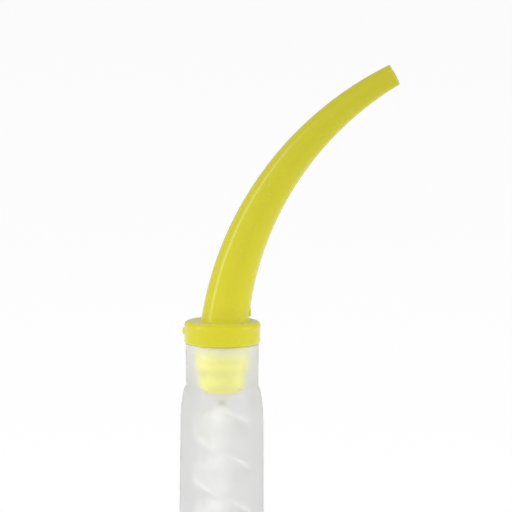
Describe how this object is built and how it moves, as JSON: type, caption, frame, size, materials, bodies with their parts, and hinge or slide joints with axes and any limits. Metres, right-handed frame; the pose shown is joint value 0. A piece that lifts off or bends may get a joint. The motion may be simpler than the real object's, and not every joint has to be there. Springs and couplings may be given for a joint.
{
  "type": "dental mixing nozzle with intraoral tip",
  "caption": "Slim dental static mixer: bayonet cap, frosted tube with a helical mixing element, and a curved translucent tip that snaps into the outlet and swivels.",
  "frame": {"origin": "centre of the cap's lower rim, on the nozzle's axis", "axes": "+Z along the tube from the cartridge end to the outlet; +X towards the side that the curved tip leans to; +Y away from a viewer who sees the tip curve to the right"},
  "size_m": [0.0236, 0.0198, 0.0764],
  "materials": {
    "tip_plastic": "yellow translucent moulded plastic, satin gloss",
    "tube_plastic": "frosted translucent natural polypropylene",
    "element_plastic": "opaque white moulded plastic",
    "insert_plastic": "translucent natural polypropylene",
    "cap_plastic": "yellow moulded plastic, satin gloss"
  },
  "bodies": {
    "mixer": {"mixer_tube": "tube_plastic", "mixing_element": "element_plastic", "inlet_insert": "insert_plastic"},
    "tip": {"intraoral_tip": "tip_plastic"},
    "cap": {"locking_cap": "cap_plastic"}
  },
  "joints": [
    {"name": "tip_swivel", "type": "hinge", "parent": "mixer", "child": "tip", "pos_m": [0, 0, 0.0557], "axis": [0, 0, 1], "continuous": true},
    {"name": "cap_turn", "type": "hinge", "parent": "mixer", "child": "cap", "pos_m": [0, 0, 0.007], "axis": [0, 0, -1], "range_deg": [0, 90]}
  ]
}
